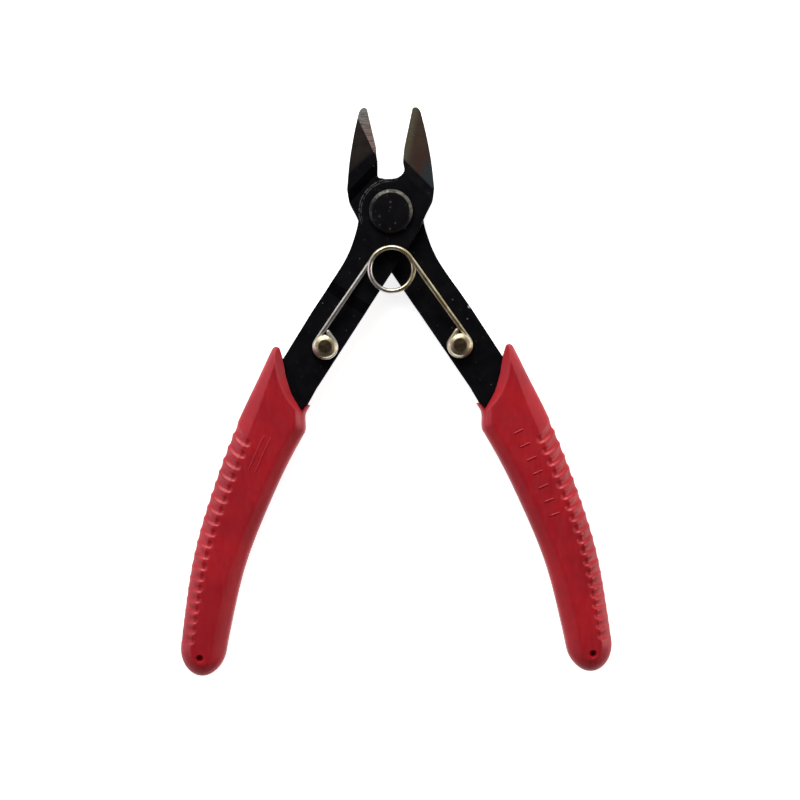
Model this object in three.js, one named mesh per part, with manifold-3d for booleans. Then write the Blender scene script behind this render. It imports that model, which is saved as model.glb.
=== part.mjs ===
// Flush cutter: two lapped steel arms on one rivet, a torsion return spring and two moulded grips.
// Millimetres, +Z up. The pivot axis is x = y = 0 and the jaws point along +Y. The tool lies on
// z = 0, on the rear face of its pivot rivet and the flat undersides of its grips.
// Both arms are the same stamping: the rear arm has the left jaw and the right handle, and the
// front arm is the same plate turned over about the Y axis. Each hub is set off by half a plate,
// so that the hubs lap, while jaws, shanks and grips stay in one middle plane.

import * as THREE from 'three';
import { mergeVertices } from 'three/addons/utils/BufferGeometryUtils.js';
import Module from 'manifold-3d';

const wasm = await Module();
wasm.setup();

// Plate and lap joint
const PLATE_THICKNESS = 2.5;
const MIDDLE_Z = 4;
const LAP_GAP = 0.1;
const HUB_OFFSET = (PLATE_THICKNESS + LAP_GAP) / 2;
const PLATE_TOP_Z = MIDDLE_Z + PLATE_THICKNESS / 2;
const PLATE_BOTTOM_Z = MIDDLE_Z - PLATE_THICKNESS / 2;
const HUB_RADIUS = 7.15;
const ROUND_SEGMENTS = 48;

// Directions in plan, in degrees from +X, for the plate as it lies in the rear arm
const JAW_BEND_DIRECTION = 135.9;
const JAW_BEND = { start: 8.0, end: 9.9 };
const SHANK_DIRECTION = -56.6;
const SHANK_BEND = { start: 19.8, end: 22.3 };
const SHANK_EDGE_DISTANCE = 7.39;

// Cutting edges: radial lines that meet on the Y axis when the jaws close
const EDGE_HALF_ANGLE = 12.4;
const EDGE_START_RADIUS = 14.5;
const TIP_RADIUS = 23.3;
const EDGE_LAND = 0.15;
const EDGE_BEVEL_ANGLE = 50;

// Ground faces on top of the jaws: where each starts, which way it drops, and its slope
const FRONT_GROUND = { direction: 44.1, start: 10.0, slope: 0.16 };
const REAR_GROUND = { direction: 129.3, start: 12.4, slope: 0.12 };
const REAR_EDGE_STRIP = { startRadius: 13.7, startZ: 5.08, slopeAlong: 0.161, slopeAcross: 0.2 };

// Pivot rivet
const PIVOT = {
  shankRadius: 2.4,
  holeRadius: 2.48,
  headRadius: 4.8,
  flatRadius: 4.03,
  chamferHeight: 0.6,
};
const HEAD_GAP = 0.1;

// Spring rivets, one on each shank
const SPRING_RIVET = { x: 14.77, y: -29.51, shankRadius: 1.2, holeRadius: 1.28, headRadius: 2.58 };
const SPRING_HEAD_BOTTOM_Z = 6.65;
const SPRING_HEAD_TOP_Z = 7.95;
const REAR_PEEN = { radius: 1.9, height: 0.5 };

// Torsion spring
const WIRE_RADIUS = 0.535;
const WIRE_SIDES = 8;
const COIL = { y: -12.81, radius: 4.77, lowZ: 7.25, highZ: 8.9 };
const EYE = { radius: 2.35, z: 5.95, sweep: 250, tail: 2.4 };
const COIL_END_GAP_DEGREES = 4;
const LEFT_LEG_LEVEL_LENGTH = 10.5;

// Grips: a sleeve along a curved centreline, tapering towards its lower end
const GRIP_CENTRELINE = [
  [17.2, -29.5],
  [27.4, -47.8],
  [33.5, -61.5],
  [38.5, -75.7],
  [41.5, -90.3],
  [43.1, -101.3],
];
const GRIP = {
  thickness: 8,
  topHalfWidth: 7.84,
  taper: 0.0404,
  endRounding: 6,
  bevelWidth: 3,
  bevelHeight: 2.4,
};
const THROAT_RELIEF = { depth: 2.0, start: 13.2, end: 17.8 };
const TANG = {
  start: 8,
  end: 65,
  top: 4.85,
  topEnd: 13.5,
  neck: 4.3,
  neckStart: 17,
  tip: 2.6,
};
const CAVITY_GAP = 0.15;
const MOULD_HOLE = { s: 73.2, w: 0.45, radius: 0.8, depth: 1.5 };

// The mouth of a grip, as distances down the centreline and outwards from it: a point on the
// outer side, a slant across the shank, and a small blunt lip on the inner side
const MOUTH = [
  [4.1, 7.75],
  [5.2, 5.8],
  [6.6, 4.2],
  [8.9, 2.1],
  [11.5, -0.7],
  [12.9, -3.0],
  [13.5, -4.3],
  [13.2, -4.65],
  [12.2, -4.95],
  [11.9, -5.4],
  [11.9, -6.4],
];

// Throats: the edge from the cutting edge down to the hub, which differs between the arms
const FRONT_THROAT = [
  [-2.8, 11.2],
  [-2.92, 10.1],
  [-3.05, 9.2],
  [-2.82, 8.4],
  [-2.2, 7.75],
  [-1.4, 7.3],
  [-0.5, 7.13],
];
const REAR_THROAT = [
  [-3.05, 12.4],
  [-2.85, 11.2],
  [-2.84, 9.6],
  [-2.86, 8.2],
  [-2.6, 7.6],
  [-1.9, 7.45],
  [-0.6, 7.12],
];

// The rest of the plate's outline: hub to shank, and the inner edge of the shank to the jaw
const SHANK_OUTER_EDGE = [
  [7.35, -3.1],
  [8.1, -5.7],
  [9.1, -8.4],
  [10.4, -11.0],
  [12.05, -13.6],
];
const SHANK_CORNER = [17.5, -21.6];
const WAIST = [
  [-7.15, -1.9],
  [-7.86, -0.4],
  [-8.6, 1.0],
  [-9.2, 2.4],
  [-9.58, 4.99],
];
const JAW_OUTER_EDGE = [
  [-9.1, 10.1],
  [-8.5, 14.1],
  [-7.75, 18.0],
  [-6.8, 22.0],
];

const FAR = 60;

// ---------------------------------------------------------------- solids

function solidFrom(geometry) {
  const bare = geometry.clone();
  bare.deleteAttribute('normal');
  bare.deleteAttribute('uv');
  const merged = mergeVertices(bare, 1e-5);
  const vertProperties = new Float32Array(merged.attributes.position.array);
  const triVerts = new Uint32Array(merged.index.array);
  return new wasm.Manifold(new wasm.Mesh({ numProp: 3, vertProperties, triVerts }));
}

function geometryFrom(solid) {
  const mesh = solid.getMesh();
  const geometry = new THREE.BufferGeometry();
  geometry.setAttribute('position', new THREE.BufferAttribute(new Float32Array(mesh.vertProperties), 3));
  geometry.setIndex(new THREE.BufferAttribute(new Uint32Array(mesh.triVerts), 1));
  geometry.computeVertexNormals();
  return geometry;
}

function prism(points, bottom, top) {
  const shape = new THREE.Shape(points);
  const geometry = new THREE.ExtrudeGeometry(shape, { depth: top - bottom, bevelEnabled: false });
  geometry.translate(0, 0, bottom);
  return solidFrom(geometry);
}

function cylinder(x, y, radius, bottom, top) {
  const geometry = new THREE.CylinderGeometry(radius, radius, top - bottom, ROUND_SEGMENTS);
  geometry.rotateX(Math.PI / 2);
  geometry.translate(x, y, (bottom + top) / 2);
  return solidFrom(geometry);
}

function turned(profile) {
  const points = profile.map(([radius, z]) => new THREE.Vector2(radius, z));
  const geometry = new THREE.LatheGeometry(points, ROUND_SEGMENTS);
  geometry.rotateX(Math.PI / 2);
  return geometry;
}

function radians(degrees) {
  return THREE.MathUtils.degToRad(degrees);
}

function direction(degrees) {
  return new THREE.Vector2(Math.cos(radians(degrees)), Math.sin(radians(degrees)));
}

// ---------------------------------------------------------------- grip and tang outlines

const gripCentre = new THREE.SplineCurve(GRIP_CENTRELINE.map(([x, y]) => new THREE.Vector2(x, y)));
const gripLength = gripCentre.getLength();

// A point at distance s down the right grip's centreline and w outwards from it.
function gripPoint(s, w) {
  const u = THREE.MathUtils.clamp(s / gripLength, 0, 1);
  const centre = gripCentre.getPointAt(u);
  const tangent = gripCentre.getTangentAt(u);
  return new THREE.Vector2(centre.x - tangent.y * w, centre.y + tangent.x * w);
}

function gripOuterHalf(s) {
  const roundStart = gripLength - GRIP.endRounding;
  const along = Math.max(0, (s - roundStart) / GRIP.endRounding);
  return (GRIP.topHalfWidth - GRIP.taper * s) * Math.sqrt(Math.max(0, 1 - along * along));
}

// The inner edge is drawn in near the mouth, where the sleeve closes on the bare shank.
function gripInnerHalf(s) {
  const relief = 1 - THREE.MathUtils.smoothstep(s, THROAT_RELIEF.start, THROAT_RELIEF.end);
  return gripOuterHalf(s) - THROAT_RELIEF.depth * relief;
}

function gripBlankOutline() {
  const straightSteps = 20;
  const endSteps = 7;
  const roundStart = gripLength - GRIP.endRounding;
  const stations = [];
  for (let i = 0; i <= straightSteps; i += 1) {
    stations.push((roundStart * i) / straightSteps);
  }
  for (let i = 1; i < endSteps; i += 1) {
    stations.push(roundStart + GRIP.endRounding * Math.sin((i / endSteps) * (Math.PI / 2)));
  }
  const inner = stations.map((s) => gripPoint(s, -gripInnerHalf(s)));
  const outer = stations.map((s) => gripPoint(s, gripOuterHalf(s)));
  return [...inner, gripPoint(gripLength, 0), ...outer.reverse()];
}

function tangHalf(s) {
  const neck = THREE.MathUtils.smoothstep(s, TANG.topEnd, TANG.neckStart);
  const upper = THREE.MathUtils.lerp(TANG.top, TANG.neck, neck);
  const along = THREE.MathUtils.clamp((s - TANG.neckStart) / (TANG.end - TANG.neckStart), 0, 1);
  return THREE.MathUtils.lerp(upper, TANG.tip, along);
}

// The tang's edge from the shank down, round its end and back up, grown by a gap for the cavity.
function tangOutline(gap) {
  const first = TANG.start;
  const steps = 14;
  const inner = [];
  const outer = [];
  for (let i = 0; i <= steps; i += 1) {
    const s = first + ((TANG.end - first) * i) / steps;
    inner.push(gripPoint(s, -tangHalf(s) - gap));
    outer.push(gripPoint(s, tangHalf(s) + gap));
  }
  const end = [];
  const endRadius = TANG.tip + gap;
  for (const degrees of [60, 30, 0, -30, -60]) {
    const s = TANG.end + endRadius * Math.cos(radians(degrees));
    end.push(gripPoint(s, endRadius * Math.sin(radians(degrees))));
  }
  return { inner, outer, end };
}

// ---------------------------------------------------------------- arms

// Plan outline of one plate: jaw on the left, handle on the right. The throat beside the hub
// differs between the two arms, so its points are given.
function armOutline(throat) {
  const path = new THREE.Path();
  const edge = direction(90 + EDGE_HALF_ANGLE);
  const shank = direction(SHANK_DIRECTION);
  const shankFoot = new THREE.Vector2(shank.y, -shank.x).multiplyScalar(SHANK_EDGE_DISTANCE);
  const tang = tangOutline(0);
  const hubStart = Math.atan2(throat.at(-1)[1], throat.at(-1)[0]);
  const toVectors = (pairs) => pairs.map(([x, y]) => new THREE.Vector2(x, y));

  // cutting edge from the tip inwards, then the throat down to the hub
  path.moveTo(edge.x * TIP_RADIUS, edge.y * TIP_RADIUS);
  path.lineTo(edge.x * EDGE_START_RADIUS, edge.y * EDGE_START_RADIUS);
  path.splineThru(toVectors(throat));
  // round the hub to the outer edge of the shank
  path.absarc(0, 0, HUB_RADIUS, hubStart, radians(-9), true);
  path.splineThru(toVectors(SHANK_OUTER_EDGE));
  path.lineTo(SHANK_CORNER[0], SHANK_CORNER[1]);
  for (const point of [...tang.outer, ...tang.end, ...tang.inner.reverse()]) {
    path.lineTo(point.x, point.y);
  }
  // straight inner edge of the shank, back up to the waist and the outside of the jaw
  path.lineTo(shankFoot.x, shankFoot.y);
  path.splineThru(toVectors(WAIST));
  path.splineThru(toVectors(JAW_OUTER_EDGE));
  path.quadraticCurveTo(-6.3, 23.2, -5.45, 23.05);
  const points = path.getPoints(4);
  return points.filter((point, i) => i === 0 || point.distanceTo(points[i - 1]) > 0.02);
}

// A plate seen from its edge: at the hub's level up to the bend, then at the middle plane.
function bentSlab(bend, degrees) {
  const hubMiddle = MIDDLE_Z - HUB_OFFSET;
  const half = PLATE_THICKNESS / 2;
  const back = -4;
  const reach = 130;
  const profile = [
    [back, hubMiddle - half],
    [bend.start, hubMiddle - half],
    [bend.end, PLATE_BOTTOM_Z],
    [reach, PLATE_BOTTOM_Z],
    [reach, PLATE_TOP_Z],
    [bend.end, PLATE_TOP_Z],
    [bend.start, hubMiddle + half],
    [back, hubMiddle + half],
  ];
  const shape = new THREE.Shape(profile.map(([d, z]) => new THREE.Vector2(d, z)));
  const geometry = new THREE.ExtrudeGeometry(shape, { depth: 2 * FAR, bevelEnabled: false });
  geometry.translate(0, 0, -FAR);
  geometry.rotateX(Math.PI / 2);
  geometry.rotateZ(radians(degrees));
  return solidFrom(geometry);
}

// The stamped and set plate, lying as the rear arm does, with its two holes.
function armBlank(throat) {
  const plan = prism(armOutline(throat), 0, 2 * MIDDLE_Z);
  const sides = bentSlab(JAW_BEND, JAW_BEND_DIRECTION).add(bentSlab(SHANK_BEND, SHANK_DIRECTION));
  const pivotHole = cylinder(0, 0, PIVOT.holeRadius, -1, 2 * MIDDLE_Z + 1);
  const rivetHole = cylinder(SPRING_RIVET.x, SPRING_RIVET.y, SPRING_RIVET.holeRadius, 0, 2 * MIDDLE_Z);
  return plan.intersect(sides).subtract(pivotHole).subtract(rivetHole);
}

function turnedOver(solid) {
  const geometry = geometryFrom(solid);
  geometry.translate(0, 0, -MIDDLE_Z);
  geometry.rotateY(Math.PI);
  geometry.translate(0, 0, MIDDLE_Z);
  return solidFrom(geometry);
}

// Everything above a plane that starts at the plate's top face and drops away from the hub.
function groundAbove({ direction: degrees, start, slope }) {
  const geometry = new THREE.BoxGeometry(FAR, FAR, 4);
  geometry.translate(FAR / 2, 0, 2);
  geometry.rotateY(Math.atan(slope));
  geometry.translate(start, 0, PLATE_TOP_Z);
  geometry.rotateZ(radians(degrees));
  return solidFrom(geometry);
}

// A block standing on a plane given by a point in it and two directions that span it.
function blockOnPlane(origin, along, across, length, width, depth) {
  const normal = new THREE.Vector3().crossVectors(along, across).normalize();
  const level = new THREE.Vector3().crossVectors(normal, along).normalize();
  const geometry = new THREE.BoxGeometry(length, width, depth);
  geometry.translate(length / 2, 0, depth / 2);
  const frame = new THREE.Matrix4().makeBasis(along.clone().normalize(), level, normal);
  frame.setPosition(origin);
  geometry.applyMatrix4(frame);
  return solidFrom(geometry);
}

// Height of a jaw's top face on its cutting edge, at radius r.
function frontEdgeZ(r) {
  const alignment = Math.cos(radians(90 - EDGE_HALF_ANGLE - FRONT_GROUND.direction));
  return PLATE_TOP_Z - FRONT_GROUND.slope * (r * alignment - FRONT_GROUND.start);
}

function rearEdgeZ(r) {
  return REAR_EDGE_STRIP.startZ - REAR_EDGE_STRIP.slopeAlong * (r - REAR_EDGE_STRIP.startRadius);
}

// The bevel behind a cutting edge, ground from the underside. side is +1 for the right jaw.
function edgeBevel(side, edgeZ) {
  const first = EDGE_START_RADIUS - 3;
  const edge = direction(90 - side * EDGE_HALF_ANGLE);
  const drop = edgeZ(TIP_RADIUS) - edgeZ(first);
  const origin = new THREE.Vector3(edge.x * first, edge.y * first, edgeZ(first) - EDGE_LAND);
  const along = new THREE.Vector3(edge.x, edge.y, drop / (TIP_RADIUS - first));
  const lean = radians(EDGE_BEVEL_ANGLE);
  const outward = new THREE.Vector2(edge.y, -edge.x).multiplyScalar(side * Math.cos(lean));
  const across = new THREE.Vector3(outward.x, outward.y, -Math.sin(lean));
  return side > 0
    ? blockOnPlane(origin, along, across, FAR, 12, 8)
    : blockOnPlane(origin, along, across.negate(), FAR, 12, 8);
}

// The narrow strip that is ground along the left jaw's cutting edge.
function edgeStrip() {
  const { startRadius, startZ, slopeAlong, slopeAcross } = REAR_EDGE_STRIP;
  const edge = direction(90 + EDGE_HALF_ANGLE);
  const first = startRadius - 1.6;
  const origin = new THREE.Vector3(edge.x * first, edge.y * first, startZ + slopeAlong * 1.6);
  const along = new THREE.Vector3(edge.x, edge.y, -slopeAlong);
  const across = new THREE.Vector3(edge.y, -edge.x, -slopeAcross);
  return blockOnPlane(origin, along, across.negate(), FAR, 12, 4);
}

function frontArm() {
  return turnedOver(armBlank(FRONT_THROAT))
    .subtract(groundAbove(FRONT_GROUND))
    .subtract(edgeBevel(1, frontEdgeZ));
}

function rearArm() {
  return armBlank(REAR_THROAT)
    .subtract(groundAbove(REAR_GROUND))
    .subtract(edgeStrip())
    .subtract(edgeBevel(-1, rearEdgeZ));
}

// ---------------------------------------------------------------- rivets

function pivotRivet() {
  const top = 2 * MIDDLE_Z;
  const grip = HUB_OFFSET + PLATE_THICKNESS / 2 + HEAD_GAP;
  return turned([
    [0, 0],
    [PIVOT.flatRadius, 0],
    [PIVOT.headRadius, PIVOT.chamferHeight],
    [PIVOT.headRadius, MIDDLE_Z - grip],
    [PIVOT.shankRadius, MIDDLE_Z - grip],
    [PIVOT.shankRadius, MIDDLE_Z + grip],
    [PIVOT.headRadius, MIDDLE_Z + grip],
    [PIVOT.headRadius, top - PIVOT.chamferHeight],
    [PIVOT.flatRadius, top],
    [0, top],
  ]);
}

function springRivet() {
  const rear = PLATE_BOTTOM_Z - HEAD_GAP;
  return turned([
    [0, rear - REAR_PEEN.height],
    [REAR_PEEN.radius - 0.3, rear - REAR_PEEN.height],
    [REAR_PEEN.radius, rear - REAR_PEEN.height / 2],
    [REAR_PEEN.radius, rear],
    [SPRING_RIVET.shankRadius, rear],
    [SPRING_RIVET.shankRadius, SPRING_HEAD_BOTTOM_Z],
    [SPRING_RIVET.headRadius, SPRING_HEAD_BOTTOM_Z],
    [SPRING_RIVET.headRadius, SPRING_HEAD_TOP_Z - 0.75],
    [SPRING_RIVET.headRadius - 0.3, SPRING_HEAD_TOP_Z - 0.3],
    [1.4, SPRING_HEAD_TOP_Z],
    [0, SPRING_HEAD_TOP_Z],
  ]);
}

// ---------------------------------------------------------------- spring

// The legs touch the coil and the eyes on one side, so each leg leaves both at the same angle.
function legGeometry() {
  const dx = SPRING_RIVET.x;
  const dy = COIL.y - SPRING_RIVET.y;
  const span = Math.hypot(dx, dy);
  const lean = Math.asin((COIL.radius - EYE.radius) / span);
  const heading = Math.atan2(dy, dx) + lean;
  return { contact: heading + Math.PI / 2, length: span * Math.cos(lean) };
}

function onCircle(x, y, radius, angle, z) {
  return new THREE.Vector3(x + radius * Math.cos(angle), y + radius * Math.sin(angle), z);
}

// One eye from its free tail to the start of its leg. side is -1 for the left rivet.
function eyePoints(side) {
  const { contact } = legGeometry();
  const x = SPRING_RIVET.x;
  const y = SPRING_RIVET.y;
  const tailAngle = contact + radians(EYE.sweep);
  const tailStart = onCircle(-x, y, EYE.radius, tailAngle, EYE.z);
  const tail = new THREE.Vector3(-Math.sin(tailAngle), Math.cos(tailAngle), 0).multiplyScalar(EYE.tail);
  const points = [tailStart.clone().add(tail), tailStart.clone().addScaledVector(tail, 0.5)];
  const steps = 14;
  for (let i = 0; i <= steps; i += 1) {
    points.push(onCircle(-x, y, EYE.radius, tailAngle - (radians(EYE.sweep) * i) / steps, EYE.z));
  }
  return points.map((point) => new THREE.Vector3(-side * point.x, point.y, point.z));
}

function wire(points, steps) {
  const path = new THREE.CatmullRomCurve3(points, false, 'centripetal');
  const section = new THREE.Shape();
  for (let i = 0; i < WIRE_SIDES; i += 1) {
    const angle = (2 * Math.PI * i) / WIRE_SIDES;
    const method = i === 0 ? 'moveTo' : 'lineTo';
    section[method](WIRE_RADIUS * Math.cos(angle), WIRE_RADIUS * Math.sin(angle));
  }
  section.closePath();
  return new THREE.ExtrudeGeometry(section, { steps, bevelEnabled: false, extrudePath: path });
}

// Left eye, left leg lying level over the hub, and the coil wound clockwise and upwards.
function springCoil() {
  const { contact } = legGeometry();
  const eye = eyePoints(-1);
  const legStart = eye.at(-1);
  const coilStart = onCircle(0, COIL.y, COIL.radius, contact, COIL.lowZ);
  const levelStart = coilStart.clone().lerp(legStart, LEFT_LEG_LEVEL_LENGTH / legGeometry().length);
  levelStart.z = COIL.lowZ;
  const points = [...eye];
  for (const t of [0.2, 0.5, 0.8]) {
    const point = legStart.clone().lerp(levelStart, t);
    point.z = THREE.MathUtils.lerp(EYE.z, COIL.lowZ, THREE.MathUtils.smoothstep(t, -0.15, 1.0));
    points.push(point);
  }
  points.push(levelStart, levelStart.clone().lerp(coilStart, 0.5));
  const turn = 2 * (contact - Math.PI / 2) + 2 * Math.PI;
  const wound = turn - radians(COIL_END_GAP_DEGREES);
  const steps = 30;
  for (let i = 0; i <= steps; i += 1) {
    const swept = (wound * i) / steps;
    const z = THREE.MathUtils.lerp(COIL.lowZ, COIL.highZ, swept / turn);
    points.push(onCircle(0, COIL.y, COIL.radius, contact - swept, z));
  }
  return wire(points, 96);
}

function springRightLeg() {
  const { contact } = legGeometry();
  const eye = eyePoints(1);
  const legStart = eye.at(-1);
  const coilEnd = onCircle(0, COIL.y, COIL.radius, Math.PI - contact, COIL.highZ);
  const points = [...eye];
  for (const t of [0.15, 0.4, 0.7]) {
    const point = legStart.clone().lerp(coilEnd, t);
    point.z = THREE.MathUtils.lerp(EYE.z, COIL.highZ, THREE.MathUtils.smoothstep(t, -0.15, 1.0));
    points.push(point);
  }
  points.push(coilEnd);
  return wire(points, 44);
}

// ---------------------------------------------------------------- grips

// Everything beyond the mouth, as an outline in plan.
function mouthOutline() {
  const curve = MOUTH.map(([s, w]) => gripPoint(s, w));
  const path = new THREE.Path();
  // out past the outer side, along the mouth, and round above the grip
  path.moveTo(27.5, -27.5);
  path.lineTo(curve[0].x, curve[0].y);
  path.splineThru(curve.slice(1));
  path.lineTo(8, -41);
  path.lineTo(8, -20);
  path.lineTo(27.5, -20);
  return path.getPoints(3);
}

function cavityOutline() {
  const { inner, outer, end } = tangOutline(CAVITY_GAP);
  const above = [gripPoint(0, -TANG.top - CAVITY_GAP), gripPoint(0, TANG.top + CAVITY_GAP)];
  return [...outer, ...end, ...inner.reverse(), ...above];
}

function rightGrip() {
  const shape = new THREE.Shape(gripBlankOutline());
  const blank = new THREE.ExtrudeGeometry(shape, {
    depth: GRIP.thickness - 2 * GRIP.bevelHeight,
    bevelEnabled: true,
    bevelThickness: GRIP.bevelHeight,
    bevelSize: GRIP.bevelWidth,
    bevelOffset: -GRIP.bevelWidth,
    bevelSegments: 2,
  });
  blank.translate(0, 0, GRIP.bevelHeight);
  const hole = gripPoint(MOULD_HOLE.s, MOULD_HOLE.w);
  const holeBottom = GRIP.thickness - MOULD_HOLE.depth;
  return solidFrom(blank)
    .subtract(prism(mouthOutline(), -1, GRIP.thickness + 1))
    .subtract(prism(cavityOutline(), PLATE_BOTTOM_Z - CAVITY_GAP, PLATE_TOP_Z + CAVITY_GAP))
    .subtract(cylinder(hole.x, hole.y, MOULD_HOLE.radius, holeBottom, GRIP.thickness + 1));
}

// ---------------------------------------------------------------- materials and assembly

function mirrored(solid) {
  const geometry = geometryFrom(solid);
  geometry.scale(-1, 1, 1);
  const index = geometry.index.array;
  for (let i = 0; i < index.length; i += 3) {
    [index[i], index[i + 1]] = [index[i + 1], index[i]];
  }
  geometry.computeVertexNormals();
  return geometry;
}

const blackSteel = new THREE.MeshStandardMaterial({ color: 0x17171a, roughness: 0.45, metalness: 0.8 });
const platedSteel = new THREE.MeshStandardMaterial({ color: 0xa89c80, roughness: 0.35, metalness: 0.9 });
const springWire = new THREE.MeshStandardMaterial({ color: 0xb4ad98, roughness: 0.3, metalness: 0.95 });
const redVinyl = new THREE.MeshStandardMaterial({ color: 0xb01f2a, roughness: 0.5, metalness: 0.0 });

function named(name, geometry, material, x = 0, y = 0) {
  const mesh = new THREE.Mesh(geometry, material);
  mesh.name = name;
  mesh.position.set(x, y, 0);
  return mesh;
}

const group = new THREE.Group();
group.add(named('front_arm', geometryFrom(frontArm()), blackSteel));
group.add(named('rear_arm', geometryFrom(rearArm()), blackSteel));
group.add(named('pivot_rivet', pivotRivet(), blackSteel));
group.add(named('spring_rivet_left', springRivet(), platedSteel, -SPRING_RIVET.x, SPRING_RIVET.y));
group.add(named('spring_rivet_right', springRivet(), platedSteel, SPRING_RIVET.x, SPRING_RIVET.y));
group.add(named('spring_coil', springCoil(), springWire));
group.add(named('spring_right_leg', springRightLeg(), springWire));
const grip = rightGrip();
group.add(named('grip_right', geometryFrom(grip), redVinyl));
group.add(named('grip_left', mirrored(grip), redVinyl));

export default group;
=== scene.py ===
"""Flush cutter: its two blackened arms, its rivets, its return spring and its two moulded grips.

Lengths are in millimetres in the geometry code and become metres as each mesh is made.
A grip is described along its own centreline: s runs down it from the shank, w outwards from it.
"""

import math

import bmesh
import bpy
import numpy as np
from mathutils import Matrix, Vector


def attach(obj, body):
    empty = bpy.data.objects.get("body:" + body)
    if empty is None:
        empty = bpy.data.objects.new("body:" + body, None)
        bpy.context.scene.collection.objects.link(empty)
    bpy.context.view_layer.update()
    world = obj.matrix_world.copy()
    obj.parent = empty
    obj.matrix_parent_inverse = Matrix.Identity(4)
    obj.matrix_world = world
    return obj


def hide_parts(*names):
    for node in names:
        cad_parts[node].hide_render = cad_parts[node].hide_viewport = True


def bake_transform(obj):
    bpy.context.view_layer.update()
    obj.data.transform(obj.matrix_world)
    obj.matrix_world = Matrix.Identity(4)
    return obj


MM = 0.001

# Tool, as the CAD model has it
MIDDLE_Z = 4.0
PIVOT = {"flat": 4.03, "head": 4.8, "chamfer": 0.6, "shank": 2.4, "inner_z": 2.65, "top": 8.0}
SPRING_RIVET = {"x": 14.77, "y": -29.51, "shank": 1.2, "head": 2.58, "head_low": 6.65, "head_top": 7.95}
SPRING_PEEN = {"radius": 1.9, "low": 2.15, "high": 2.65}
WIRE_RADIUS = 0.535
COIL = {"y": -12.81, "radius": 4.77, "low": 7.25, "high": 8.9}
EYE = {"radius": 2.35, "z": 5.95, "sweep": 250.0, "tail": 2.4}
LEFT_LEG_LEVEL = 10.5
EDGE_HALF_ANGLE = 12.4
FRONT_GROUND = {"direction": 44.1, "start": 10.0}
REAR_GROUND = {"direction": 129.3, "start": 12.4}
SHANK_NICK = (16.9, -21.1)

# Grips
GRIP_CENTRELINE = [(17.2, -29.5), (27.4, -47.8), (33.5, -61.5), (38.5, -75.7), (41.5, -90.3),
                   (43.1, -101.3)]
GRIP_THICKNESS = 8.0
GRIP_TOP_HALF_WIDTH = 7.84
GRIP_TAPER = 0.0404
GRIP_END_ROUNDING = 6.0
GRIP_EDGE_Z = 5.6
THROAT_RELIEF = {"depth": 2.0, "start": 13.2, "end": 17.8}
OUTER_BEVEL = [(4.0, 2.0), (8.0, 2.1), (12.0, 2.45), (16.0, 2.9), (20.0, 3.25), (24.0, 3.4),
               (40.0, 2.9), (48.0, 2.5), (77.0, 2.3)]
INNER_BEVEL = [(10.0, 2.4), (20.0, 2.5), (40.0, 2.6), (50.0, 2.9), (60.0, 3.3), (77.0, 3.0)]
END_BEVEL = 2.4
BEVEL_START_DROP = 0.55
BEVEL_SHOULDER_Z = 6.55
BEVEL_FULLNESS = 0.55
MOUTH_CURVE = [(6.2, 8.1), (5.0, 7.85), (4.35, 7.65), (4.0, 7.3), (3.92, 6.95), (4.05, 6.6), (4.4, 6.2),
               (4.9, 5.7), (6.4, 4.2), (8.9, 2.1), (11.5, -0.7), (12.9, -3.0), (13.6, -4.2), (13.5, -4.5),
               (12.4, -4.7), (11.8, -4.95), (11.8, -6.4)]
MOUTH_BEVEL = {"lip_w": -4.5, "lip_width": 0.7, "wide_w": 3.0, "width": 1.75, "rim_z": 6.15}
TIP_FULLNESS = 0.2
MOUTH_ROWS_END = 20.0
CAVITY = {"low": 2.45, "high": 5.55, "half": 5.15, "depths": (0.0, 0.5, 2.0, 6.0)}
FLUTES = {"count": 19, "first_lip": 26.18, "spacing": 2.712, "closing": 0.0139, "row": 0.155}
FLUTE_POCKET = {"from_edge": 3.6, "drift": 0.036, "reach": 1.1}
FLUTE_PLACES = (26.0, 50.0, 72.0)
POCKET_DEPTHS = (0.34, 0.32, 0.29)
SIDE_DEPTHS = (0.27, 0.19, 0.05)
MOULD_HOLE = {"s": 73.2, "w": 0.45, "radius": 0.76, "depth": 1.3}

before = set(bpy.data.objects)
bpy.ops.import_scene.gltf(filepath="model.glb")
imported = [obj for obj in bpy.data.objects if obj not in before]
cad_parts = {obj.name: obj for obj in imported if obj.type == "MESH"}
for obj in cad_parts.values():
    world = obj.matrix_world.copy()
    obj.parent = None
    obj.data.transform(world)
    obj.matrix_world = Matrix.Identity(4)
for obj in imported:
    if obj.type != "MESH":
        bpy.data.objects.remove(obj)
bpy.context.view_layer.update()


# ---------------------------------------------------------------- small helpers

def smoothstep(value, low, high):
    t = np.clip((np.asarray(value, float) - low) / (high - low), 0.0, 1.0)
    return t * t * (3.0 - 2.0 * t)


def smooth_min(a, b, softness):
    mix = np.clip(0.5 + 0.5 * (b - a) / softness, 0.0, 1.0)
    return b + (a - b) * mix - softness * mix * (1.0 - mix)


def srgb(red, green, blue):
    def linear(channel):
        value = channel / 255.0
        return value / 12.92 if value <= 0.04045 else ((value + 0.055) / 1.055) ** 2.4
    return (linear(red), linear(green), linear(blue), 1.0)


def mesh_object(name, points, faces, smooth=True):
    mesh = bpy.data.meshes.new(name)
    mesh.from_pydata([tuple(MM * c for c in p) for p in points], [], faces)
    mesh.validate()
    mesh.polygons.foreach_set("use_smooth", [smooth] * len(mesh.polygons))
    piece = bpy.data.objects.new(name, mesh)
    bpy.context.scene.collection.objects.link(piece)
    return piece


def edit_mesh(piece, edit):
    """Runs one bmesh edit on a piece."""
    work = bmesh.new()
    work.from_mesh(piece.data)
    edit(work)
    work.to_mesh(piece.data)
    work.free()
    piece.data.update()


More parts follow.
